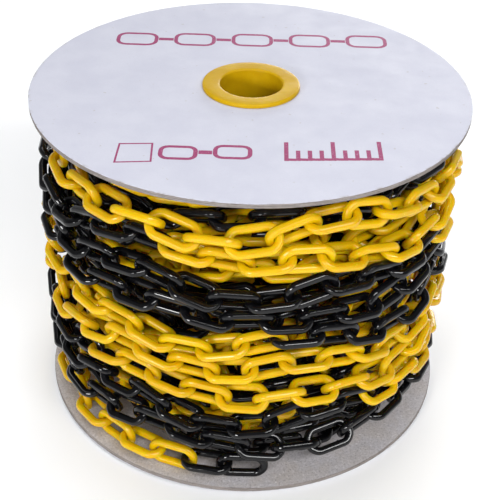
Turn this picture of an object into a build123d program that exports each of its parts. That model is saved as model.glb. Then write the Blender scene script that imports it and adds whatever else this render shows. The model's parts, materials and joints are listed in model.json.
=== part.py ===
"""Reel of two-colour plastic barrier chain: two cardboard flanges on a core tube, a flanged
bush in each end, and a long 6 mm chain wound on it, every link a solid of its own.

Origin: centre of the underside, on the surface that the reel stands on.  +Z up, millimetres.
The free end of the chain lies on the bottom flange, at the front (-Y).
"""
from build123d import *
import os

import numpy as np

# ---- driving dimensions -----------------------------------------------------------------
FLANGE_DIAMETER = 310.0
BOARD_THICKNESS = 3.0
PAPER_THICKNESS = 0.3
FACE_TO_FACE = 244.0        # outer paper face to outer paper face
BORE_DIAMETER = 44.0        # what a spindle runs in
SLEEVE_WALL = 2.5
SLEEVE_DEPTH = 22.0         # how far a bush reaches in from its flange's outer face
RIM_DIAMETER = 69.0
RIM_THICKNESS = 3.0
RIM_ROUNDING = 1.3
SLIP_FIT = 0.25             # radial gap between a bush's sleeve and its hole
TUBE_DIAMETER = 76.0
TUBE_WALL = 4.0

WIRE = 6.0                  # thickness of a link's bar
LINK_LENGTH = 38.0          # over the ends
LINK_WIDTH = 22.0
LINK_CORNER = 4.6           # how much each corner of the bar's centreline is cut off
LINK_PLAY = 0.3             # end play between two linked links, in a straight stretch
LEAST_PLAY = 0.12           # what a bend leaves of it
COLOUR_RUN = 22             # links of one colour in a row
COLOURS = ("black", "yellow")
BLACK_END = 2               # links at the free end before the first yellow run
TAIL_LINKS = 5              # loose links at the free end
TAIL_ANGLE = -84.0          # where the free end points, degrees round the axis

TURNS = (12.4, 12.4, 12.4, 12.4, 11.2, 9.9)          # in each winding, from the tube outwards
MISSING_TURNS = 0.2         # that the last winding stops short of the bottom
LAYER_RISE = 18.3           # between the even windings
SNUG_FIT = 0.4              # between a tidy winding and what it lies against
BAR_SAG = 2.0               # how much nearer the tube an inner bar's middle is than its ends
CLIMB_TURNS = 0.3           # of a turn, to climb from one winding to the next
DISORDER = (0.0, 0.0, 0.0, 0.3, 0.9, 1.0)            # how unevenly each winding lies, 0 to 1
WANDER = 16.0               # sideways wander of an uneven turn
LIFT = 8.0                  # in and out wander
ROLL = 1.0                  # uneven roll of the chain about its own line, radians
LEAN = 0.7                  # mean roll there, which turns every other link flat, radians
UNEVEN_BEND = np.radians(7)  # more bend from link to link where a winding lies unevenly
MOST_TWIST = 0.3            # roll between two linked links, past a quarter turn
CLEARANCE = 0.3             # least gap between two links that don't hold each other
SEED = 11

# ---- what follows from them -------------------------------------------------------------
BOTTOM_FACE = RIM_THICKNESS
TOP_FACE = BOTTOM_FACE + FACE_TO_FACE
FLOOR = BOTTOM_FACE + PAPER_THICKNESS + BOARD_THICKNESS
CEILING = TOP_FACE - PAPER_THICKNESS - BOARD_THICKNESS
FLANGE_RADIUS = FLANGE_DIAMETER / 2
SLEEVE_RADIUS = BORE_DIAMETER / 2 + SLEEVE_WALL
HOLE_RADIUS = SLEEVE_RADIUS + SLIP_FIT
TUBE_RADIUS = TUBE_DIAMETER / 2

HALF_LENGTH = (LINK_LENGTH - WIRE) / 2      # of the bar's centreline, as the next two are
HALF_WIDTH = (LINK_WIDTH - WIRE) / 2
PITCH = LINK_LENGTH - 2 * WIRE - LINK_PLAY
REACH = WIRE + CLEARANCE                    # least distance between two bars' centrelines
HALF_DIAMOND = HALF_WIDTH * np.sqrt(0.5) + WIRE / 2     # half the chain's height, rolled 45 degrees
SAMPLE_SPACING = 3.5                        # of the points that feel for contact on a bar
FELT_REACH = REACH + 0.3                    # REACH and what the spacing of the points can miss
QUARTER = np.pi / 2


# ---- a link's outline, in its own plane: x along the chain, y across ----------------------
def link_corners():
    """The eight corners of the bar's centreline, in order round the link."""
    end, cut = HALF_LENGTH, HALF_LENGTH - LINK_CORNER
    side, low = HALF_WIDTH, HALF_WIDTH - LINK_CORNER
    quarter = [(end, low), (cut, side)]
    half = quarter + [(-x, y) for x, y in reversed(quarter)]
    return np.array(half + [(-x, -y) for x, y in half])


def link_samples():
    """Evenly spaced points round the bar's centreline."""
    corners = link_corners()
    points = []
    for start, end in zip(corners, np.roll(corners, -1, axis=0)):
        count = max(1, round(np.linalg.norm(end - start) / SAMPLE_SPACING))
        points += [start + (end - start) * k / count for k in range(count)]
    return np.array(points)


def nearest_on_outline(x, y):
    """The point of the bar's centreline nearest to (x, y), worked out in one quarter."""
    u, v = np.abs(x), np.abs(y)
    slide = np.clip((u - v - HALF_LENGTH + LINK_CORNER + HALF_WIDTH) / (2 * LINK_CORNER), 0, 1)
    choices = (
        (np.full_like(u, HALF_LENGTH), np.minimum(v, HALF_WIDTH - LINK_CORNER)),
        (np.minimum(u, HALF_LENGTH - LINK_CORNER), np.full_like(u, HALF_WIDTH)),
        (HALF_LENGTH - LINK_CORNER * (1 - slide), HALF_WIDTH - LINK_CORNER * slide),
    )
    best_u, best_v = choices[0]
    best = (u - best_u) ** 2 + (v - best_v) ** 2
    for other_u, other_v in choices[1:]:
        other = (u - other_u) ** 2 + (v - other_v) ** 2
        best_u = np.where(other < best, other_u, best_u)
        best_v = np.where(other < best, other_v, best_v)
        best = np.minimum(other, best)
    return np.copysign(best_u, x), np.copysign(best_v, y)


# ---- vectors ----------------------------------------------------------------------------
def unit(v):
    return v / np.linalg.norm(v, axis=-1, keepdims=True)


def dot(a, b):
    return (a * b).sum(axis=-1)


def outward(points):
    """Unit vectors away from the reel's axis."""
    return unit(points * np.array([1.0, 1.0, 0.0]))


def step(x):
    """0 below 0, 1 above 1 and smooth between."""
    x = np.clip(x, 0.0, 1.0)
    return x * x * (3 - 2 * x)


def smooth_noise(rng, count, period):
    """A smooth uneven curve through count values, mostly between -1 and 1."""
    phase = np.arange(count)
    waves = [
        np.sin(2 * np.pi * (phase / (period * stretch) + rng.random()))
        for stretch in rng.uniform(0.6, 1.9, 6)
    ]
    return np.sum(waves, axis=0) / 3


# ---- the winding ------------------------------------------------------------------------
def pitch_on(radius, more_bend=0.0):
    """Pitch of linked links, rolled 45 degrees, on a bend: the crossed bars need more room."""
    half_bend = np.arcsin(PITCH / 2 / radius) + more_bend / 2
    room = (np.sqrt(1 + np.sin(half_bend) ** 2) / np.cos(half_bend)) ** 1.3
    return LINK_LENGTH - WIRE - (WIRE + LINK_PLAY) * room


def tidy_winding():
    """Joints of the chain and the winding each lies in, wound evenly, layer upon layer.

    The windings go up and down in turn.  The last one goes down, stops short of the bottom, and
    its end comes down onto the bottom flange.
    """
    first = TUBE_RADIUS + BAR_SAG + HALF_DIAMOND + SNUG_FIT
    radii = [first + LAYER_RISE * k for k in range(len(TURNS) - 2)]
    last = FLANGE_RADIUS - HALF_DIAMOND - 1.2
    radii += [(radii[-1] + last) / 2, last]
    starts = np.concatenate([[0.0], np.cumsum(TURNS)])
    full_turns = (*TURNS[:-1], TURNS[-1] + MISSING_TURNS)
    low = FLOOR + HALF_DIAMOND + SNUG_FIT
    high = CEILING - HALF_DIAMOND - SNUG_FIT
    tail_level = FLOOR + LINK_WIDTH / 2 + 0.4
    tail_radius = FLANGE_RADIUS - LINK_WIDTH / 2 - 1.0
    turn = 0.0
    path = []
    while turn <= starts[-1]:
        climbs = [
            (radii[k] - radii[k - 1]) * step((turn - starts[k]) / CLIMB_TURNS + 0.5)
            for k in range(1, len(radii))
        ]
        radius = radii[0] + sum(climbs)
        layer = int(np.searchsorted(starts[1:-1], turn, side="right"))
        done = (turn - starts[layer]) / full_turns[layer]
        downwards = (len(TURNS) - 1 - layer) % 2 == 0
        level = high - (high - low) * (done if downwards else 1 - done)
        landing = step((turn - starts[-1] + 0.5) / 0.34)
        level += (tail_level - level) * landing
        radius += (tail_radius - radius) * landing
        path.append((turn, radius, level, layer))
        turn += np.arcsin(pitch_on(radius, UNEVEN_BEND * DISORDER[layer]) / 2 / radius) / np.pi
    turns, radius, level, layer = np.array(path).T
    angle = 2 * np.pi * (turns - turns[-1]) + np.radians(TAIL_ANGLE)
    joints = np.stack([radius * np.cos(angle), radius * np.sin(angle), level], axis=1)
    return joints, layer.astype(int)


def link_frames(joints, roll):
    """Centre of each link, and its unit vectors along the chain, across it and out of its plane."""
    along = unit(joints[1:] - joints[:-1])
    centre = (joints[1:] + joints[:-1]) / 2
    out = outward(centre)
    out = unit(out - dot(out, along)[:, None] * along)
    side = np.cross(along, out)
    across = np.cos(roll)[:, None] * out + np.sin(roll)[:, None] * side
    return centre, along, across, np.cross(along, across)


def on_links(frames, points):
    """The points (x, y) of every link's own plane, in space: one row for each link."""
    centre, along, across, _ = frames
    x, y = points[None, :, 0:1], points[None, :, 1:2]
    return centre[:, None] + along[:, None] * x + across[:, None] * y


def close_pairs(joints, margin):
    """Links that could touch and don't hold each other, as two lists of numbers."""
    limit = 2 * HALF_WIDTH + REACH + margin
    centre = (joints[1:] + joints[:-1]) / 2
    square = dot(centre, centre)
    apart = square[:, None] + square[None] - 2 * centre @ centre.T
    first, second = np.nonzero(np.triu(apart < (limit + PITCH) ** 2, 2))
    share = np.linspace(-0.12, 1.12, 6)[None, :, None]
    lines = [
        joints[k][:, None] + (joints[k + 1] - joints[k])[:, None] * share
        for k in (first, second)
    ]
    gaps = ((lines[0][:, :, None] - lines[1][:, None]) ** 2).sum(axis=3).min(axis=(1, 2))
    near = gaps < (limit + 1.5) ** 2
    return first[near], second[near]


def contacts(frames, samples, first, second):
    """Where a bar of a first link comes within reach of its second link's bar.

    Returns the two links' numbers, the two points in their own planes, the direction from the
    second to the first, and the distance.
    """
    centre, along, across, normal = frames
    here = on_links([f[first] for f in frames], samples)
    away = here - centre[second][:, None]
    x, y, z = (dot(away, f[second][:, None]) for f in (along, across, normal))
    near_x, near_y = nearest_on_outline(x, y)
    square = (x - near_x) ** 2 + (y - near_y) ** 2 + z * z
    best = square.argmin(axis=1)
    row = np.arange(len(first))
    distance = np.sqrt(square[row, best])
    row = row[distance < FELT_REACH]
    best = best[row]
    a, b, distance = first[row], second[row], distance[row]
    near_x, near_y = near_x[row, best], near_y[row, best]
    there = centre[b] + along[b] * near_x[:, None] + across[b] * near_y[:, None]
    push = (here[row, best] - there) / np.maximum(distance, 1e-6)[:, None]
    return a, b, samples[best], np.stack([near_x, near_y], axis=1), push, distance


def least_distance(frames, first, second):
    """The least distance between two links' bar centrelines, exact, for each pair."""
    points = on_links(frames, link_corners())
    ends = np.roll(points, -1, axis=1)
    p = points[first][:, :, None]
    q = points[second][:, None]
    u = (ends - points)[first][:, :, None]
    v = (ends - points)[second][:, None]
    w = p - q
    uu, uv, vv, uw, vw = dot(u, u), dot(u, v), dot(v, v), dot(u, w), dot(v, w)
    det = np.maximum(uu * vv - uv * uv, 1e-9)
    s = np.clip((uv * vw - vv * uw) / det, 0, 1)
    t = np.clip((vw + s * uv) / vv, 0, 1)
    s = np.clip((t * uv - uw) / uu, 0, 1)
    gap = w + s[..., None] * u - t[..., None] * v
    return np.sqrt(dot(gap, gap).min(axis=(1, 2)))


class Chain:
    """The chain as joints a pitch apart and a roll for each link, settled by small moves."""

    def __init__(self, joints, layer):
        self.joints = joints
        self.layer = layer
        self.count = len(joints) - 1
        number = np.arange(self.count)
        to_tail = step((number - self.count + TAIL_LINKS + 8) / 7)
        self.roll = QUARTER / 2 * (1 - to_tail) + QUARTER * number
        self.freedom = np.ones(self.count + 1)
        self.freedom[self.count - TAIL_LINKS - 1 :] = 0.0
        self.lever = self.freedom[1:] / HALF_WIDTH**2
        self.pitch = np.linalg.norm(np.diff(joints, axis=0), axis=1)
        self.pitch = np.minimum(self.pitch, pitch_on(np.hypot(joints[1:, 0], joints[1:, 1])))
        self.samples = link_samples()
        self.outermost = np.vstack([link_corners(), [(0, HALF_WIDTH), (0, -HALF_WIDTH)]])
        radius = np.hypot(joints[1:-1, 0], joints[1:-1, 1])
        bend = np.maximum(np.radians(24), 2 * np.arcsin(PITCH / 2 / radius) * 1.1)
        self.least_span = 2 * PITCH * np.cos(bend / 2)

    def fix_tidy_windings(self):
        """The windings that lie evenly don't move any more."""
        even = np.array(DISORDER)[self.layer] == 0
        self.freedom[even] = 0.0
        self.lever[even[:-1]] = 0.0

    def aim(self):
        """Where each joint and roll would like to be: the tidy winding, made uneven."""
        rng = np.random.default_rng(SEED)
        uneven = np.array(DISORDER)[self.layer] * self.freedom
        goal = self.joints.copy()
        goal[:, 2] += WANDER * uneven * smooth_noise(rng, self.count + 1, 8)
        lift = LIFT * uneven * smooth_noise(rng, self.count + 1, 6)
        goal += outward(self.joints) * lift[:, None]
        roll = ROLL * smooth_noise(rng, self.count, 6) - LEAN
        return goal, self.roll + roll * uneven[:-1]

    def push_apart(self, first, second):
        """Moves every two links that are within reach of each other a little further apart."""
        frames = link_frames(self.joints, self.roll)
        move = np.zeros_like(self.joints)
        touches = np.zeros(self.count + 1)
        turn = np.zeros(self.count)
        for one, other in ((first, second), (second, first)):
            a, b, point_a, point_b, push, distance = contacts(frames, self.samples, one, other)
            sides = []
            give = np.zeros(len(a))
            for link, point, sign in ((a, point_a, 1.0), (b, point_b, -1.0)):
                share = np.clip(0.5 + point[:, 0] / PITCH, -0.15, 1.15)
                arm = frames[2][link] * point[:, 1:2]
                twist = dot(np.cross(frames[1][link], arm), push) * sign
                give += (1 - share) ** 2 * self.freedom[link] + share**2 * self.freedom[link + 1]
                give += twist**2 * self.lever[link]
                sides.append((link, share, twist, sign))
            effort = (FELT_REACH - distance) / np.maximum(give, 0.05)
            for link, share, twist, sign in sides:
                for k in range(3):
                    pull = effort * sign * push[:, k]
                    move[:, k] += np.bincount(link, pull * (1 - share), self.count + 1)
                    move[:, k] += np.bincount(link + 1, pull * share, self.count + 1)
                touches += np.bincount(link, minlength=self.count + 1)
                touches += np.bincount(link + 1, minlength=self.count + 1)
                turn += np.bincount(link, effort * twist, self.count)
        crowd = np.maximum(1, touches * 0.4)
        self.joints = self.joints + 0.7 * move * (self.freedom / crowd)[:, None]
        self.roll = self.roll + 0.7 * turn * self.lever / np.maximum(1, touches[1:] * 0.25)

    def keep_inside(self):
        """Keeps every link between the flanges, off the tube and inside the flanges' edge."""
        gap = WIRE / 2 + CLEARANCE
        points = on_links(link_frames(self.joints, self.roll), self.outermost)
        radius = np.hypot(points[..., 0], points[..., 1])
        rise = np.maximum(0, FLOOR + gap - points[..., 2]).max(axis=1)
        rise -= np.maximum(0, points[..., 2] - CEILING + gap).max(axis=1)
        out = np.maximum(0, TUBE_RADIUS + gap - radius).max(axis=1)
        out -= np.maximum(0, radius - FLANGE_RADIUS + WIRE / 2).max(axis=1)
        move = outward(points.mean(axis=1)) * out[:, None]
        move[:, 2] += rise
        self.joints[:-1] += move / 2 * self.freedom[:-1, None]
        self.joints[1:] += move / 2 * self.freedom[1:, None]

    def keep_linked(self):
        """Keeps the pitch, and keeps bends and relative rolls within what two links allow."""
        extra = self.roll[1:] - self.roll[:-1] - QUARTER
        extra = extra - np.clip(extra, -MOST_TWIST, MOST_TWIST)
        free = self.lever > 0
        both = np.maximum(free[1:].astype(float) + free[:-1], 1)
        self.roll[1:] -= extra * free[1:] / both
        self.roll[:-1] += extra * free[:-1] / both
        for repeat in range(4):
            for start in (0, 1):
                a = np.arange(start, self.count, 2)
                pitch = self.pitch[a]
                self.stretch(a, a + 1, lambda length: length - pitch)
            for start in (0, 1, 2) if repeat % 2 == 0 else ():
                a = np.arange(start, self.count - 1, 3)
                least = self.least_span[a]
                self.stretch(a, a + 2, lambda length: np.minimum(0, length - least) * 0.7)

    def fit_pitch(self):
        """Shortens the pitch where two linked links bind, and gives it back where they don't."""
        number = np.arange(self.count - 1)
        frames = link_frames(self.joints, self.roll)
        play = least_distance(frames, number, number + 1) - WIRE - LEAST_PLAY
        change = np.where(play < 0.02, 0.5 * (play - 0.02), np.minimum(0.02, 0.2 * play))
        for side in (slice(None, -1), slice(1, None)):
            self.pitch[side] += change * (self.lever[side] > 0)
        self.pitch = np.clip(self.pitch, PITCH - 1.6, PITCH)

    def stretch(self, a, b, excess):
        """Moves joints a and b towards each other by the excess of their distance."""
        span = self.joints[b] - self.joints[a]
        length = np.linalg.norm(span, axis=1)
        both = np.maximum(self.freedom[a] + self.freedom[b], 1e-9)
        move = span * (excess(length) / length / both)[:, None]
        self.joints[a] += move * self.freedom[a][:, None]
        self.joints[b] -= move * self.freedom[b][:, None]

    def settle(self, rounds, goal=None, haste=0.0):
        """Draws the chain towards a goal while its links keep clear of each other.

        Rounding after each move keeps the result the same on every computer.
        """
        for k in range(rounds):
            if k % 8 == 0:
                pairs = close_pairs(self.joints, 2.0)
            if goal:
                self.joints += haste * (goal[0] - self.joints) * self.freedom[:, None]
                self.roll += haste * (goal[1] - self.roll) * (self.lever > 0)
            if k % 3 == 0:
                self.fit_pitch()
            for _ in range(2):
                self.push_apart(*pairs)
                self.keep_inside()
                self.keep_linked()
                self.joints = np.round(self.joints, 7)
                self.roll = np.round(self.roll, 7)


def wound_chain():
    """Joints, rolls and windings of the settled chain, with its clearances checked."""
    joints, layer = tidy_winding()
    chain = Chain(joints, layer)
    chain.settle(24)
    chain.fix_tidy_windings()
    chain.settle(50, chain.aim(), 0.035)
    chain.settle(36)
    frames = link_frames(chain.joints, chain.roll)
    neighbours = np.arange(chain.count - 1)
    held = least_distance(frames, neighbours, neighbours + 1).min() - WIRE
    free = least_distance(frames, *close_pairs(chain.joints, 1.0)).min() - WIRE
    lengths = np.linalg.norm(np.diff(chain.joints, axis=0), axis=1)
    print(f"{chain.count} links, {chain.count * PITCH / 1000:.1f} m of chain")
    print(f"least gap of linked links {held:.3f}, of others {free:.3f} mm")
    print(f"pitch {lengths.min():.2f} to {lengths.max():.2f} mm")
    return chain, frames


# ---- solids -----------------------------------------------------------------------------
def ring(outer_radius, inner_radius, height, bottom):
    """A flat ring or tube on the reel's axis, standing at the height `bottom`."""
    base = Plane.XY.offset(bottom)
    return extrude(base * (Circle(outer_radius) - Circle(inner_radius)), height)


def bush():
    """The bottom bush: a rounded rim below the flange and a sleeve up through its hole."""
    rim = ring(RIM_DIAMETER / 2, BORE_DIAMETER / 2, RIM_THICKNESS, 0)
    outer_edges = rim.edges().filter_by(GeomType.CIRCLE).group_by(Axis.Z)[0]
    rim = fillet(outer_edges, RIM_ROUNDING)
    sleeve = ring(SLEEVE_RADIUS, BORE_DIAMETER / 2, RIM_THICKNESS + SLEEVE_DEPTH - 2, 2)
    sleeve_end = sleeve.edges().filter_by(GeomType.CIRCLE).group_by(Axis.Z)[-1]
    sleeve = chamfer(sleeve_end, 0.8)
    return rim + sleeve


def upper(part):
    """The same piece at the reel's other end."""
    middle = Plane.XY.offset((BOTTOM_FACE + TOP_FACE) / 2)
    return mirror(part, about=middle)


def link():
    """One link about the origin: along X, across Y."""
    corners = [(float(x), float(y)) for x, y in link_corners()]
    bar_line = Polyline(*corners, close=True)
    section = Plane(origin=(0, -HALF_WIDTH, 0), z_dir=(1, 0, 0)) * Circle(WIRE / 2)
    return sweep(section, path=bar_line, transition=Transition.RIGHT)


def placed_links(frames, numbers):
    """The links with these numbers, each where the settled chain has it."""
    centre, along, _, normal = frames
    one = link().solids()[0]
    solids = []
    for number in numbers:
        plane = Plane(
            origin=Vector(*map(float, centre[number])),
            x_dir=Vector(*map(float, along[number])),
            z_dir=Vector(*map(float, normal[number])),
        )
        solids.append(one.moved(Location(plane)))
    return Compound(children=solids) if len(solids) > 1 else solids[0]


def chain_nodes():
    """One node for each colour in each winding, and one for each loose link at the end."""
    chain, frames = wound_chain()
    wound = chain.count - TAIL_LINKS
    from_end = chain.count - 1 - np.arange(chain.count)
    colour_of = ((from_end + COLOUR_RUN - BLACK_END) // COLOUR_RUN) % len(COLOURS)
    nodes = {}
    for layer in range(len(TURNS)):
        for colour, name in enumerate(COLOURS):
            here = (chain.layer[:-1] == layer) & (colour_of == colour) & (from_end >= TAIL_LINKS)
            nodes[f"chain_winding_{layer + 1}_{name}"] = placed_links(frames, np.flatnonzero(here))
    for number in range(wound, chain.count):
        nodes[f"tail_link_{number - wound + 1}"] = placed_links(frames, [number])
    print_tail_hinges(frames, range(wound, chain.count))
    return nodes


def print_tail_hinges(frames, numbers):
    """Where each loose link turns: on the upright one of the two bars that hook each other."""
    centre, along, across, _ = frames
    for number in numbers:
        if abs(across[number - 1][2]) > abs(across[number][2]):
            pivot = centre[number - 1] + along[number - 1] * HALF_LENGTH
        else:
            pivot = centre[number] - along[number] * HALF_LENGTH
        print("hinge of a loose link, mm:", np.round(pivot, 3))


def card_nodes():
    board = ring(FLANGE_RADIUS, HOLE_RADIUS, BOARD_THICKNESS, BOTTOM_FACE + PAPER_THICKNESS)
    paper = ring(FLANGE_RADIUS, HOLE_RADIUS, PAPER_THICKNESS, BOTTOM_FACE)
    tube = ring(TUBE_RADIUS, TUBE_RADIUS - TUBE_WALL, CEILING - FLOOR, FLOOR)
    return {
        "bottom_board": board,
        "bottom_paper": paper,
        "top_board": upper(board),
        "top_paper": upper(paper),
        "core_tube": tube,
    }


def main():
    os.makedirs("parts", exist_ok=True)
    nodes = {"bottom_bush": bush(), "top_bush": upper(bush())}
    nodes.update(card_nodes())
    nodes.update(chain_nodes())
    for name, shape in nodes.items():
        export_step(shape, f"parts/{name}.step")


main()
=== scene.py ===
"""How a reel of black and yellow plastic barrier chain looks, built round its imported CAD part."""
import json
import math

import bpy
import numpy as np
from mathutils import Matrix, Vector


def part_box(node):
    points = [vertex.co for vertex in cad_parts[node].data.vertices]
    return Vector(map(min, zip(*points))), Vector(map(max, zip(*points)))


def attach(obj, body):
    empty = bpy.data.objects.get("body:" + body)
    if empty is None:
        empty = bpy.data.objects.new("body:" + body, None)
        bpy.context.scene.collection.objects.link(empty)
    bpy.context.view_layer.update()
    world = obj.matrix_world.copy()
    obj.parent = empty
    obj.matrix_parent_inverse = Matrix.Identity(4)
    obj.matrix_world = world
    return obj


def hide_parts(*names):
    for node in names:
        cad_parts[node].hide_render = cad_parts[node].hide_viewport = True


MM = 0.001
TAU = 2 * math.pi

# ---- sizes in mm, as in the CAD part -----------------------------------------------------
BAR_RADIUS = 3.0
HALF_LENGTH, HALF_WIDTH = 16.0, 8.0     # of a link's centre line
CORNER_CUT = 4.6                        # off each corner of that line
BORE_RADIUS = 22.0
SLEEVE_RADIUS = 24.5
BUSH_FLANGE = 3.0                       # thickness
BOARD_HOLE = 24.75                      # radius

# ---- finer detail, in mm -----------------------------------------------------------------
TURN_RADIUS = 6.4                       # of the centre line at a link's corners
GATE_PLACE = 5.0                        # along the bar from the link's middle
GATE_RINGS = ((0.75, -0.35), (0.5, 0.28))   # radius, and height over the bar
SEAM_WIDTH = 0.3
PLY_STEP, PLY_BEVEL = 0.16, 0.12        # every other ply stands back, and all have soft corners
RIM_WEAR = 0.28                         # how deep each kind of wear goes at a flange's rim
BOARD_FRAY, PLY_FRAY, PAPER_FRAY = 0.16, 0.14, 0.12
INK_THICKNESS = 0.04

# half the angle of a flat round the bar, and how far the normals at its corners lean, in degrees
WIDE_FLAT, NARROW_FLAT = (20, 8), (12, 7)

# ---- counts ------------------------------------------------------------------------------
TURN_RINGS = 4                          # rings of points round a link's corner
PLIES = 5
RIM_STEPS, BUSH_STEPS = 720, 160        # points round the axis

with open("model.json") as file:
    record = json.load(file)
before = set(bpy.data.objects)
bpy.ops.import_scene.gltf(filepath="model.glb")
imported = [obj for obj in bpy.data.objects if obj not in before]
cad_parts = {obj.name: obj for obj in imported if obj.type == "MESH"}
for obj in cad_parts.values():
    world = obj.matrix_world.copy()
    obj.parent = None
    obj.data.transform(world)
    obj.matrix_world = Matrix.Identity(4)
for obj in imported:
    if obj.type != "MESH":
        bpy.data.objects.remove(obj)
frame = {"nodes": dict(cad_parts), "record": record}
bpy.context.view_layer.update()
nodes = frame["nodes"]
slots = {piece["node"]: piece["material_slot"] for piece in frame["record"]["subparts"]}
random = np.random.default_rng(7)


# ---- materials ---------------------------------------------------------------------------
class Paint:
    """A node material, built up a node at a time.

    Colours are linear, and noise scales are in cycles to the metre.
    """

    def __init__(self, name):
        self.material = bpy.data.materials.new(name)
        self.material.use_nodes = True
        self.tree = self.material.node_tree
        self.shader = self.tree.nodes["Principled BSDF"]
        self.place = self.node("ShaderNodeTexCoord").outputs["Object"]

    def node(self, kind, **values):
        made = self.tree.nodes.new(kind)
        for key, value in values.items():
            if key in made.inputs:
                self.feed(made.inputs[key], value)
            else:
                setattr(made, key, value)
        return made

    def feed(self, socket, value):
        if isinstance(value, bpy.types.NodeSocket):
            self.tree.links.new(value, socket)
        else:
            socket.default_value = value

    def set(self, **values):
        """Sets the shader's inputs by name, with _ for each space."""
        for key, value in values.items():
            self.feed(self.shader.inputs[key.replace("_", " ")], value)

    def glow(self, weight, scale, radius):
        """Light that enters the plastic and comes out beside; radius is for red, green and blue."""
        self.set(Subsurface_Weight=weight, Subsurface_Scale=scale)
        self.shader.inputs["Subsurface Radius"].default_value = radius

    def noise(self, scale, detail=3.0, rough=0.5, stretch=None):
        where = self.place
        if stretch:
            move = self.node("ShaderNodeMapping")
            self.feed(move.inputs["Vector"], where)
            move.inputs["Scale"].default_value = stretch
            where = move.outputs["Vector"]
        made = self.node(
            "ShaderNodeTexNoise", Vector=where, Scale=scale, Detail=detail, Roughness=rough
        )
        return made.outputs["Fac"]

    def ramp(self, value, low, high, start, end):
        """From low, where value is at most start, smoothly to high, where it is at least end."""
        made = self.node("ShaderNodeMapRange", Value=value)
        made.interpolation_type = "SMOOTHSTEP"
        made.inputs["From Min"].default_value = start
        made.inputs["From Max"].default_value = end
        made.inputs["To Min"].default_value = low
        made.inputs["To Max"].default_value = high
        return made.outputs["Result"]

    def mask(self, value, start, end):
        return self.ramp(value, 0.0, 1.0, start, end)

    def math(self, kind, a, b):
        made = self.node("ShaderNodeMath", operation=kind)
        self.feed(made.inputs[0], a)
        self.feed(made.inputs[1], b)
        return made.outputs[0]

    def mix(self, share, a, b):
        made = self.node("ShaderNodeMix", data_type="RGBA")
        self.feed(made.inputs[0], share)
        for socket, value in zip((made.inputs[6], made.inputs[7]), (a, b)):
            self.feed(socket, value if isinstance(value, bpy.types.NodeSocket) else (*value, 1.0))
        return made.outputs[2]

    def over(self, colour, other, mask, most):
        """The colour with another laid over it where mask is 1, at most so thick."""
        return self.mix(self.math("MULTIPLY", mask, most), colour, other)

    def attribute(self, name):
        return self.node("ShaderNodeAttribute", attribute_name=name).outputs["Fac"]

    def bump(self, *layers):
        """Layers are (height value, depth in metres)."""
        normal = None
        for height, depth in layers:
            made = self.node("ShaderNodeBump", Height=height, Distance=depth, Strength=1.0)
            if normal:
                self.feed(made.inputs["Normal"], normal)
            normal = made.outputs["Normal"]
        self.set(Normal=normal)


def chain_plastic(name, pale, deep, dust, rough, gloss):
    """Moulded polyethylene: flow marks, scuffs, a little dust, one tone for each link."""
    paint = Paint(name)
    flow = paint.noise(45, 4, 0.55)
    tone = paint.math("MULTIPLY", paint.math("ADD", paint.attribute("tone"), flow), 0.5)
    scuff = paint.mask(paint.noise(420, 5, 0.7), 0.6, 0.82)
    grime = paint.mask(paint.noise(16, 3, 0.6), 0.52, 0.8)
    colour = paint.mix(tone, deep, pale)
    colour = paint.over(colour, dust, scuff, 0.12)
    colour = paint.over(colour, dust, grime, 0.06)
    patchy = paint.ramp(paint.noise(38, 3, 0.6), rough - 0.05, rough + 0.06, 0.3, 0.7)
    scuffed = paint.math("ADD", patchy, paint.math("MULTIPLY", scuff, 0.16))
    paint.set(Base_Color=colour, Roughness=scuffed, Specular_IOR_Level=gloss, IOR=1.5)
    waves, grain = paint.noise(90, 2, 0.4), paint.noise(800, 2, 0.5)
    paint.bump((waves, 0.00022), (grain, 0.000015), (paint.attribute("seam"), 0.00012))
    return paint


yellow = chain_plastic(
    "yellow_polyethylene", pale=(0.71, 0.475, 0.002), deep=(0.57, 0.335, 0.001),
    dust=(0.72, 0.55, 0.08), rough=0.22, gloss=0.33,
)
yellow.glow(0.7, 0.0032, (1.0, 0.26, 0.01))
black = chain_plastic(
    "black_polyethylene", pale=(0.004, 0.004, 0.005), deep=(0.0015, 0.0015, 0.002),
    dust=(0.035, 0.035, 0.045), rough=0.10, gloss=0.34,
)
chain_paints = {"yellow_chain": yellow, "black_chain": black}


def coated_paper():
    """Coated paper on board: faint mottle, fine grain, specks, and rubbed through at the rim."""
    paint = Paint("white_face_paper")
    mottle = paint.mask(paint.noise(34, 4, 0.6), 0.3, 0.7)
    fibre = paint.mask(paint.noise(1500, 3, 0.7), 0.42, 0.62)
    speck = paint.mask(paint.noise(260, 2, 0.4), 0.735, 0.76)
    rubbed = paint.mask(paint.noise(140, 4, 0.7), 0.48, 0.64)
    colour = paint.mix(mottle, (0.592, 0.596, 0.675), (0.548, 0.552, 0.638))
    colour = paint.over(colour, (0.42, 0.41, 0.47), fibre, 0.10)
    colour = paint.over(colour, (0.40, 0.36, 0.33), speck, 0.5)
    colour = paint.over(colour, (0.34, 0.31, 0.30), rubbed, paint.attribute("rim"))
    rough = paint.ramp(paint.noise(60, 3, 0.6), 0.58, 0.74, 0.3, 0.7)
    paint.set(Base_Color=colour, Specular_IOR_Level=0.35, Roughness=rough)
    paint.bump((paint.noise(26, 2, 0.5), 0.0010), (paint.noise(1500, 3, 0.6), 0.00006))
    return paint


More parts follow.
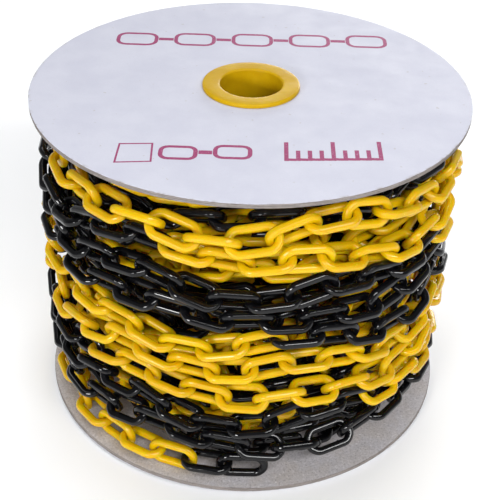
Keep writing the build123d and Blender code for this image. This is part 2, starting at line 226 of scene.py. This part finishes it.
def greyboard():
    """Recycled pulp board: patches, dark and light flecks, plies that show at its cut edge, and
    painted shade that darkens that edge.
    """
    paint = Paint("greyboard")
    pulp = paint.noise(700, 5, 0.75)
    ply = paint.noise(60, 3, 0.6, (1.0, 1.0, 45.0))
    dark_fleck = paint.mask(paint.noise(620, 4, 0.7), 0.5, 0.66)
    light_fleck = paint.mask(paint.noise(540, 4, 0.7, (1.0, 1.0, 1.4)), 0.52, 0.68)
    colour = paint.mix(paint.mask(pulp, 0.3, 0.7), (0.56, 0.53, 0.54), (0.46, 0.435, 0.445))
    colour = paint.over(colour, (0.50, 0.44, 0.39), paint.mask(ply, 0.42, 0.6), 0.4)
    colour = paint.over(colour, (0.52, 0.51, 0.55), paint.mask(paint.noise(22, 3), 0.35, 0.7), 0.3)
    colour = paint.over(colour, (0.24, 0.22, 0.22), dark_fleck, 0.6)
    colour = paint.over(colour, (0.78, 0.75, 0.77), light_fleck, 0.5)
    # painted shade: the cut edge's dark brown is partly the plies' own colour and partly shade
    # painted on the side wall
    cut_edge_and_painted_shade = paint.mix(paint.mask(ply, 0.4, 0.6), (0.27, 0.23, 0.20), (0.14, 0.12, 0.105))
    colour = paint.over(colour, cut_edge_and_painted_shade, paint.attribute("rim"), 0.85)
    paint.set(Base_Color=colour, Roughness=0.86, Specular_IOR_Level=0.2)
    paint.bump((ply, 0.0008), (pulp, 0.0004))
    return paint


def tube_card():
    """Brown card, wound in a spiral whose joints show as dark lines."""
    paint = Paint("tube_card")
    wrap = paint.node("ShaderNodeTexWave", Vector=paint.place, Scale=5.0, Distortion=1.2, Detail=2.0)
    wrap.wave_type, wrap.bands_direction = "BANDS", "DIAGONAL"
    fibre = paint.noise(900, 4, 0.7)
    joint = paint.math("MULTIPLY", paint.mask(wrap.outputs["Fac"], 0.0, 0.12), 0.35)
    colour = paint.mix(fibre, (0.40, 0.29, 0.19), (0.30, 0.21, 0.13))
    colour = paint.mix(joint, (0.2, 0.14, 0.09), colour)
    paint.set(Base_Color=colour, Roughness=0.85, Specular_IOR_Level=0.2)
    paint.bump((fibre, 0.0002))
    return paint


def hub_plastic():
    """Satin yellow polypropylene, a little mottled."""
    paint = Paint("hub_polypropylene")
    grain = paint.noise(240, 4, 0.6)
    mottle = paint.mask(paint.noise(45, 4, 0.6), 0.3, 0.7)
    colour = paint.mix(mottle, (0.57, 0.355, 0.003), (0.50, 0.295, 0.002))
    colour = paint.over(colour, (0.60, 0.40, 0.01), paint.mask(grain, 0.5, 0.75), 0.16)
    rough = paint.ramp(grain, 0.33, 0.45, 0.3, 0.7)
    paint.set(Base_Color=colour, Roughness=rough, Specular_IOR_Level=0.13)
    paint.glow(0.15, 0.002, (1.0, 0.45, 0.05))
    paint.bump((paint.noise(70, 2, 0.5), 0.0005), (paint.noise(1300, 2, 0.6), 0.00003))
    return paint


def magenta_ink():
    """Screen printing ink, thin in places."""
    paint = Paint("magenta_ink")
    thin = paint.mask(paint.noise(700, 4, 0.7), 0.52, 0.72)
    colour = paint.over((0.30, 0.035, 0.125), (0.58, 0.42, 0.56), thin, 0.45)
    paint.set(Base_Color=colour, Roughness=0.6, Specular_IOR_Level=0.3)
    paint.bump((paint.noise(1500, 3, 0.6), 0.00006))
    return paint


white_paper = coated_paper()
board = greyboard()
card = tube_card()
hub = hub_plastic()
ink = magenta_ink()


def dress(obj, paint):
    obj.data.materials.clear()
    obj.data.materials.append(paint.material)


# ---- meshes ------------------------------------------------------------------------------
def new_mesh(name, points, faces, paint, smooth=True, normals=None, **attributes):
    """A mesh object in the row frame, from points in metres and faces of one or more sizes."""
    mesh = bpy.data.meshes.new(name)
    points = np.asarray(points, dtype=np.float32)
    groups = [np.asarray(group) for group in faces]
    mesh.vertices.add(len(points))
    mesh.vertices.foreach_set("co", points.ravel())
    loops = np.concatenate([group.ravel() for group in groups])
    sizes = np.concatenate([np.full(len(group), group.shape[1]) for group in groups])
    mesh.loops.add(len(loops))
    mesh.loops.foreach_set("vertex_index", loops.astype(np.int32))
    mesh.polygons.add(len(sizes))
    starts = np.concatenate([[0], np.cumsum(sizes)[:-1]])
    mesh.polygons.foreach_set("loop_start", starts.astype(np.int32))
    mesh.polygons.foreach_set("use_smooth", np.full(len(sizes), smooth))
    mesh.update(calc_edges=True)
    for key, values in attributes.items():
        layer = mesh.attributes.new(key, "FLOAT", "POINT")
        layer.data.foreach_set("value", np.asarray(values, dtype=np.float32))
    if normals is not None:
        mesh.normals_split_custom_set_from_vertices(np.asarray(normals, dtype=np.float32))
    obj = bpy.data.objects.new(name, mesh)
    bpy.context.scene.collection.objects.link(obj)
    dress(obj, paint)
    return obj


def ring_faces(count, around, turned=False):
    """Quads between count closed rings of around points each, the last ring joined to the first.

    Where turned, they face the other way.
    """
    i, j = np.meshgrid(np.arange(count), np.arange(around), indexing="ij")
    next_i, next_j = (i + 1) % count, (j + 1) % around
    corners = [i * around + j, next_i * around + j, next_i * around + next_j, i * around + next_j]
    if turned:
        corners[1], corners[3] = corners[3], corners[1]
    return np.stack(corners, axis=-1).reshape(-1, 4)


def lathe(name, profile, paint, steps, wobble=None, **attributes):
    """A closed profile of (radius, height) in metres turned round the reel's axis."""
    profile = np.asarray(profile)
    angles = np.arange(steps) * TAU / steps
    radius = profile[None, :, 0] + (wobble if wobble is not None else np.zeros((steps, 1)))
    height = np.broadcast_to(profile[:, 1], radius.shape)
    points = np.stack(
        [radius * np.cos(angles)[:, None], radius * np.sin(angles)[:, None], height], axis=-1
    )
    extra = {key: np.tile(values, steps) for key, values in attributes.items()}
    faces = ring_faces(steps, len(profile), turned=True)
    return new_mesh(name, points.reshape(-1, 3), [faces], paint, **extra)


def sharpen(obj, degrees):
    """Shades the mesh's edges sharp past an angle."""
    chosen = {"object": obj, "active_object": obj, "selected_objects": [obj]}
    with bpy.context.temp_override(**chosen, selected_editable_objects=[obj]):
        bpy.ops.object.shade_smooth_by_angle(angle=math.radians(degrees))


# ---- the chain ---------------------------------------------------------------------------
def links_in(node):
    """Centre and axes (along, across, normal) of each link in a CAD node's mesh."""
    mesh = nodes[node].data
    points = np.empty(len(mesh.vertices) * 3, dtype=np.float32)
    mesh.vertices.foreach_get("co", points)
    points, number = np.unique(points.reshape(-1, 3), axis=0, return_inverse=True)
    number = number.ravel()
    ends = np.empty(len(mesh.edges) * 2, dtype=np.int32)
    mesh.edges.foreach_get("vertices", ends)
    a, b = number[ends.reshape(-1, 2)].T
    # points joined by edges end up with one label
    label = np.arange(len(points))
    while True:
        least = np.minimum(label[a], label[b])
        new = label.copy()
        np.minimum.at(new, a, least)
        np.minimum.at(new, b, least)
        new = new[new]
        if (new == label).all():
            break
        label = new
    found = []
    order = np.argsort(label, kind="stable")
    for group in np.split(order, np.flatnonzero(np.diff(label[order])) + 1):
        here = points[group].astype(float)
        centre = here.mean(axis=0)
        _, axes = np.linalg.eigh((here - centre).T @ (here - centre))
        along, across = axes[:, 2], axes[:, 1]
        found.append((centre, np.stack([along, across, np.cross(along, across)])))
    return found


def bar_section():
    """Points and normals round the bar: nearly round, with four wide and four narrow flats."""
    points, normals = [], []
    for k in range(8):
        reach, lean = WIDE_FLAT if k % 2 == 0 else NARROW_FLAT
        for side in (-1, 1):
            corner = k * TAU / 8 + side * math.radians(reach)
            points.append((BAR_RADIUS * math.cos(corner), BAR_RADIUS * math.sin(corner)))
            leaning = k * TAU / 8 + side * math.radians(lean)
            normals.append((math.cos(leaning), math.sin(leaning)))
    return np.array(points), np.array(normals)


def centre_line():
    """Points round a link's centre line, rounded at its eight corners, and the way out at each."""
    quarter = [(HALF_LENGTH, HALF_WIDTH - CORNER_CUT), (HALF_LENGTH - CORNER_CUT, HALF_WIDTH)]
    half = quarter + [(-x, y) for x, y in reversed(quarter)]
    corners = np.array(half + [(-x, -y) for x, y in half])
    before, after = np.roll(corners, 1, axis=0), np.roll(corners, -1, axis=0)
    centres, outs = [], []
    for last, here, next_one in zip(before, corners, after):
        into = (here - last) / np.linalg.norm(here - last)
        away = (next_one - here) / np.linalg.norm(next_one - here)
        inwards = (away - into) / np.linalg.norm(away - into)
        middle = here + inwards * TURN_RADIUS / math.cos(TAU / 16)
        for k in range(TURN_RINGS):
            heading = math.atan2(into[1], into[0]) + TAU / 8 * k / (TURN_RINGS - 1)
            out = np.array([math.sin(heading), -math.cos(heading)])
            centres.append(middle + out * TURN_RADIUS)
            outs.append(out)
    return np.array(centres), np.array(outs)


def gate_mark():
    """The stub left on the inside of one long bar: points, faces and normals."""
    steps = np.arange(8) * TAU / 8
    points = [
        (GATE_PLACE + r * math.cos(t), HALF_WIDTH - BAR_RADIUS - h, r * math.sin(t))
        for r, h in GATE_RINGS for t in steps
    ]
    normals = [(math.cos(t), slope, math.sin(t)) for slope in (-0.3, -1.0) for t in steps]
    k = np.arange(8)
    sides = np.stack([k, (k + 1) % 8, 8 + (k + 1) % 8, 8 + k], axis=-1)
    return points, [sides, (8 + k)[None], k[::-1][None]], normals


def moulded_link():
    """One link about the origin in metres: along X, across Y. Points, faces, normals and seam."""
    ring, ring_normals = bar_section()
    centres, outs = centre_line()
    count, around = len(centres), len(ring)
    points = np.zeros((count, around, 3))
    normals = np.zeros((count, around, 3))
    points[..., :2] = centres[:, None] + outs[:, None] * ring[None, :, :1]
    points[..., 2] = ring[None, :, 1]
    normals[..., :2] = outs[:, None] * ring_normals[None, :, :1]
    normals[..., 2] = ring_normals[None, :, 1]
    points, normals = points.reshape(-1, 3), normals.reshape(-1, 3)
    gate, gate_faces, gate_normals = gate_mark()
    faces = [ring_faces(count, around)] + [group + len(points) for group in gate_faces]
    points = np.vstack([points, gate])
    normals = np.vstack([normals, gate_normals])
    normals /= np.linalg.norm(normals, axis=1, keepdims=True)
    seam = np.exp(-(points[:, 2] / SEAM_WIDTH) ** 2)
    return points * MM, faces, normals, seam


LINK = moulded_link()


def chain_piece(node, paint, body):
    """The moulded links of one CAD node as one mesh, which replaces it."""
    points, faces, normals, seam = LINK
    all_points, all_normals, tones = [], [], []
    for centre, axes in links_in(node):
        # half of the links lie end for end, with their gate on the other side
        if random.random() < 0.5:
            axes = axes * np.array([[-1], [-1], [1]])
        all_points.append(points @ axes + centre)
        all_normals.append(normals @ axes)
        tones.append(random.random())
    count = len(tones)
    offsets = (np.arange(count) * len(points))[:, None, None]
    all_faces = [(group[None] + offsets).reshape(-1, group.shape[1]) for group in faces]
    obj = new_mesh(
        node.replace("chain_winding", "links"), np.vstack(all_points), all_faces, paint,
        normals=np.vstack(all_normals), tone=np.repeat(tones, len(points)),
        seam=np.tile(seam, count),
    )
    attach(obj, body)
    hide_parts(node)


# the inner windings hardly show: they keep their CAD meshes
for node, slot in slots.items():
    paint = chain_paints.get(slot)
    if node.startswith("tail_link"):
        chain_piece(node, paint, node.replace("tail_link", "loose"))
    elif node.startswith(("chain_winding_4", "chain_winding_5", "chain_winding_6")):
        chain_piece(node, paint, "reel")
    elif paint:
        dress(nodes[node], paint)


# ---- the hub bushes ----------------------------------------------------------------------
QUARTER_TURN = [k * TAU / 4 / 6 for k in range(7)]


def bush(name, node, up):
    """A moulded bush: a softly crowned rim, a rounded mouth and a sleeve that ends in a bevel."""
    low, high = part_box(node)
    rim, end = (high.z, low.z) if up else (low.z, high.z)
    outer, depth = high.x / MM, abs(end - rim) / MM
    edge, mouth = 1.4, 1.5
    # (radius, depth below the rim), from the outer edge inwards, down the bore and back outside
    profile = [
        (outer - edge * (1 - math.cos(t)), 1.5 - edge * math.sin(t)) for t in QUARTER_TURN
    ]
    profile += [(29.5, 0.02), (25.5, 0.12)]
    profile += [
        (BORE_RADIUS + mouth * (1 - math.sin(t)), 0.15 + mouth * (1 - math.cos(t)))
        for t in QUARTER_TURN
    ]
    profile += [(BORE_RADIUS, 12), (BORE_RADIUS, depth - 0.7), (BORE_RADIUS + 0.5, depth)]
    profile += [(SLEEVE_RADIUS - 0.7, depth), (SLEEVE_RADIUS, depth - 0.8)]
    profile += [(SLEEVE_RADIUS, BUSH_FLANGE + 0.6), (SLEEVE_RADIUS + 0.6, BUSH_FLANGE)]
    profile += [(outer - 1.0, BUSH_FLANGE), (outer - 0.1, BUSH_FLANGE - 0.3)]
    sense = -1 if up else 1
    profile = [(r * MM, rim + sense * z * MM) for r, z in profile]
    if not up:
        profile.reverse()
    obj = lathe(name, profile, hub, BUSH_STEPS)
    sharpen(obj, 40)
    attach(obj, "reel")
    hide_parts(node)


bush("hub_bush_top", "top_bush", True)
bush("hub_bush_bottom", "bottom_bush", False)


# ---- the flanges -------------------------------------------------------------------------
def uneven(waves, depth, seed):
    """A curve round the rim from 0 to -depth: 14 sines of waves[0] to waves[1] waves each."""
    rng = np.random.default_rng(seed)
    angle = np.arange(RIM_STEPS) * TAU / RIM_STEPS
    total = sum(
        math.sqrt(waves[0] / n) * np.sin(n * angle + rng.uniform(0, TAU)) * rng.uniform(0.4, 1.0)
        for n in rng.integers(waves[0], waves[1], 14)
    )
    return -depth * (0.5 + 0.5 * np.clip(total / 2.2, -1, 1))[:, None]


def flange_board(name, node, wear, seed):
    """A disc of pressed plies, worn at its rim."""
    low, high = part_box(node)
    rim, hole = high.x, BOARD_HOLE * MM
    thick = (high.z - low.z) / PLIES
    edge = []
    for k in range(PLIES):
        out, z = rim - k % 2 * PLY_STEP * MM, low.z + k * thick
        edge += [
            (out - PLY_BEVEL * MM, z + 0.02 * MM), (out, z + 0.18 * thick),
            (out, z + 0.82 * thick), (out - PLY_BEVEL * MM, z + thick - 0.02 * MM),
        ]
    # rings inside the faces keep the shading flat
    rings = (rim - 1 * MM, rim - 6 * MM, 100 * MM, 40 * MM)
    under = [(r, low.z) for r in reversed(rings)]
    over = [(r, high.z) for r in rings]
    profile = np.array([(hole, low.z)] + under + edge + over + [(hole, high.z)])
    reach = np.clip((profile[:, 0] - (rim - 1.0 * MM)) / MM, 0, 1)
    fine = uneven((60, 340), BOARD_FRAY * MM, seed + 1)
    own = [uneven((20, 200), PLY_FRAY * MM, seed + 2 + k) for k in range(len(profile))]
    wobble = (wear + fine + np.hstack(own)) * reach
    obj = lathe(name, profile, board, RIM_STEPS, wobble=wobble, rim=reach)
    sharpen(obj, 50)
    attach(obj, "reel")
    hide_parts(node)


def flange_paper(name, node, wear, up, seed):
    """The sheet glued on a board's outer face, whose edge is rubbed round."""
    low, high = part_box(node)
    rim, hole = high.x, BOARD_HOLE * MM
    outer_z, inner_z = (high.z, low.z) if up else (low.z, high.z)
    lift = 1 if up else -1
    flat = [hole] + [r * MM for r in (26, 32, 40, 60, 90, 120, 140)] + [rim - 6 * MM]
    rounded = ((2.5, 0.01), (1.0, 0.04), (0.35, 0.12), (0.05, 0.24))
    face = [(r, outer_z) for r in flat]
    face += [(rim - inset * MM, outer_z - lift * drop * MM) for inset, drop in rounded]
    back = [(rim - 0.1 * MM, inner_z), (rim - 6 * MM, inner_z), (hole, inner_z)]
    profile = np.array(face + back)
    worn = np.clip((profile[:, 0] - (rim - 1.4 * MM)) / (1.4 * MM), 0, 1)
    reach = np.clip((profile[:, 0] - (rim - 1.2 * MM)) / MM, 0, 1)
    wobble = (wear + uneven((60, 340), PAPER_FRAY * MM, seed + 40)) * reach
    if up:
        profile, worn, wobble = profile[::-1], worn[::-1], wobble[:, ::-1]
    sheet = lathe(name, profile, white_paper, RIM_STEPS, wobble=wobble, rim=worn)
    sharpen(sheet, 50)
    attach(sheet, "reel")
    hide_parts(node)


def flange(label, board_node, paper_node, up, seed):
    """A board and its paper, which share the slow waves of the rim's wear."""
    wear = uneven((3, 60), RIM_WEAR * MM, seed)
    flange_board(label + "_board", board_node, wear, seed)
    flange_paper(label + "_face_paper", paper_node, wear, up, seed)


flange("bottom", "bottom_board", "bottom_paper", False, 100)
flange("top", "top_board", "top_paper", True, 200)
top_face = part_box("top_paper")[1].z
dress(nodes["core_tube"], card)


# ---- the print on the top face: generic marks --------------------------------------------
class Print:
    """Flat inked shapes a hair above the paper, in mm from the reel's axis."""

    def __init__(self):
        self.points, self.faces = [], []

    def strip(self, outline, hole=None):
        """A filled convex outline, or the band between it and a hole with as many points."""
        base, count = len(self.points), len(outline)
        rings = [outline, hole] if hole is not None else [outline]
        for z in (0.0, INK_THICKNESS):
            for ring in rings:
                self.points += [(x, y, z) for x, y in ring]
        k = np.arange(count)
        after = (k + 1) % count
        if hole is None:
            top, foot = base + count, base
            self.faces.append(np.array([top + k]))
            self.faces.append(np.array([foot + k[::-1]]))
            self.faces.append(np.stack([foot + k, foot + after, top + after, top + k], axis=-1))
            return
        low_out, low_in, top_out, top_in = (base + count * n for n in range(4))
        for corners in (
            (top_out + k, top_out + after, top_in + after, top_in + k),
            (low_out + k, low_in + k, low_in + after, low_out + after),
            (low_out + k, low_out + after, top_out + after, top_out + k),
            (low_in + k, top_in + k, top_in + after, low_in + after),
        ):
            self.faces.append(np.stack(corners, axis=-1))

    def link(self, x, y, length, width, line):
        """A link seen flat: a band with rounded corners."""
        def outline(a, b, turn):
            points = []
            for quarter, (across, up) in enumerate(((1, 1), (-1, 1), (-1, -1), (1, -1))):
                for k in range(5):
                    t = (quarter + k / 4) * TAU / 4
                    u = across * (a - turn) + turn * math.cos(t)
                    v = up * (b - turn) + turn * math.sin(t)
                    points.append((x + u, y + v))
            return points
        turn = 0.72 * width / 2
        outside = outline(length / 2, width / 2, turn)
        self.strip(outside, outline(length / 2 - line, width / 2 - line, turn - line))

    def bar(self, x, y, length, width):
        a, b = length / 2, width / 2
        self.strip([(x - a, y - b), (x + a, y - b), (x + a, y + b), (x - a, y + b)])

    def chain_row(self, start, end, links, height, line):
        """A pictogram of a chain: links seen flat, and between them links seen edge on."""
        pitch = (end[0] - start[0]) / (links - 1)
        gap = 0.4
        for k in range(links):
            x, y = np.array(start) + (np.array(end) - np.array(start)) * k / (links - 1)
            if k % 2 == 0:
                self.link(x, y, pitch * 1.45, height, line)
            else:
                self.bar(x, y, pitch * 0.55 - 2 * gap, line * 1.6)

    def scale(self, start, steps, pitch, slope):
        """A base line with a tall mark at every fourth step and short ones between."""
        line = 2.8
        for k in range(steps):
            x, tall = start[0] + pitch * k, 24 if k % 4 == 0 else 13
            base = start[1] + slope * (x - start[0])
            self.bar(x, base + tall / 2, line, tall)
            if k:
                self.bar(x - pitch / 2, base + 1.3, pitch - line, 3.0)

    def make(self, name):
        points = np.array(self.points)
        level = np.column_stack([points[:, :2] * MM, top_face + points[:, 2] * MM])
        sizes = sorted({group.shape[1] for group in self.faces})
        faces = [np.vstack([g for g in self.faces if g.shape[1] == size]) for size in sizes]
        obj = new_mesh(name, level, faces, ink, smooth=False)
        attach(obj, "reel")


title = Print()
title.chain_row((-88, 75), (87, 83.4), links=9, height=23, line=2.9)
title.make("print_chain_pictogram")

# a tick box, two links of chain and a length scale, on a line that runs uphill to the right
size_row = Print()
size_row.strip([(-83.6, -112.2), (-60.0, -109.6), (-61.0, -85.6), (-83.0, -87.4)],
               [(-82.3, -110.7), (-61.3, -108.4), (-62.2, -87.0), (-81.8, -88.7)])
size_row.chain_row((-44.5, -97.0), (-10, -94.2), links=3, height=18, line=2.9)
size_row.scale((24, -103.2), steps=9, pitch=7.5, slope=0.076)
size_row.make("print_tick_box_and_scale")

# ---- floor and light ---------------------------------------------------------------------
FLOOR_REACH = 25.0                      # metres each way
HORIZON, ZENITH = 0.62, 0.17            # strength of the sky's light
REEL_MIDDLE = (0, 0, 0.12)

floor_paint = Paint("pale_floor")
floor_tone = floor_paint.mask(floor_paint.noise(6, 2), 0.3, 0.7)
floor_colour = floor_paint.mix(floor_tone, (0.93, 0.93, 0.93), (0.95, 0.95, 0.95))
floor_paint.set(Base_Color=floor_colour, Roughness=0.9)
corners = [(x * FLOOR_REACH, y * FLOOR_REACH, 0) for x, y in ((-1, -1), (1, -1), (1, 1), (-1, 1))]
floor = new_mesh("floor", corners, [np.array([[0, 1, 2, 3]])], floor_paint)

scene = bpy.context.scene
scene.view_settings.view_transform = "Standard"
world = bpy.data.worlds.new("studio")
world.use_nodes = True
scene.world = world
sky = world.node_tree.nodes["Background"]
sky.inputs["Color"].default_value = (0.97, 0.98, 1.0, 1.0)
bearing = world.node_tree.nodes.new("ShaderNodeTexCoord")
height = world.node_tree.nodes.new("ShaderNodeSeparateXYZ")
fade = world.node_tree.nodes.new("ShaderNodeMapRange")
world.node_tree.links.new(bearing.outputs["Generated"], height.inputs[0])
world.node_tree.links.new(height.outputs["Z"], fade.inputs["Value"])
for key, value in (("From Min", 0.1), ("From Max", 0.35), ("To Min", HORIZON), ("To Max", ZENITH)):
    fade.inputs[key].default_value = value
world.node_tree.links.new(fade.outputs["Result"], sky.inputs["Strength"])


def hang(name, light, direction, place=(0, 0, 0)):
    """Puts a light that shines along a direction into the scene."""
    obj = bpy.data.objects.new(name, light)
    obj.location = place
    obj.rotation_euler = direction.to_track_quat("-Z", "Y").to_euler()
    scene.collection.objects.link(obj)


def softbox(name, place, size, power):
    """A rectangular light that faces the middle of the reel."""
    light = bpy.data.lights.new(name, "AREA")
    light.shape, light.size, light.size_y = "RECTANGLE", size[0], size[1]
    light.energy = power
    hang(name, light, Vector(REEL_MIDDLE) - Vector(place), place)


def skylight(name, direction, strength, spread, tint):
    """Light from the whole sky round one direction, spread in degrees."""
    light = bpy.data.lights.new(name, "SUN")
    light.energy, light.angle, light.color = strength, math.radians(spread), tint
    hang(name, light, Vector(direction))


softbox("key", place=(0.65, -1.35, 1.45), size=(1.5, 0.25), power=25)
softbox("front", place=(-0.9, -1.7, 0.7), size=(0.55, 0.3), power=20)
softbox("back", place=(0.5, 1.7, 0.5), size=(1.2, 0.5), power=19)
skylight("top", (0.1, -0.27, -0.96), strength=1.4, spread=42, tint=(0.95, 0.97, 1.0))

# ---- camera ------------------------------------------------------------------------------
EYE = Vector((3.0, -685.0, 583.5)) * MM
PITCH, ROLL = math.radians(34.86), math.radians(-1.88)
LENS = 77.0                             # mm, on a sensor 36 mm wide

camera = bpy.data.cameras.new("camera")
camera.lens = LENS
forward = Vector((0, math.cos(PITCH), -math.sin(PITCH)))
level_right, level_down = Vector((1, 0, 0)), Vector((0, -math.sin(PITCH), -math.cos(PITCH)))
right = level_right * math.cos(ROLL) + level_down * math.sin(ROLL)
down = level_down * math.cos(ROLL) - level_right * math.sin(ROLL)
viewer = bpy.data.objects.new("camera", camera)
turned = Matrix((right, -down, -forward)).transposed().to_4x4()
viewer.matrix_world = Matrix.Translation(EYE) @ turned
scene.collection.objects.link(viewer)
scene.camera = viewer

bpy.context.view_layer.update()
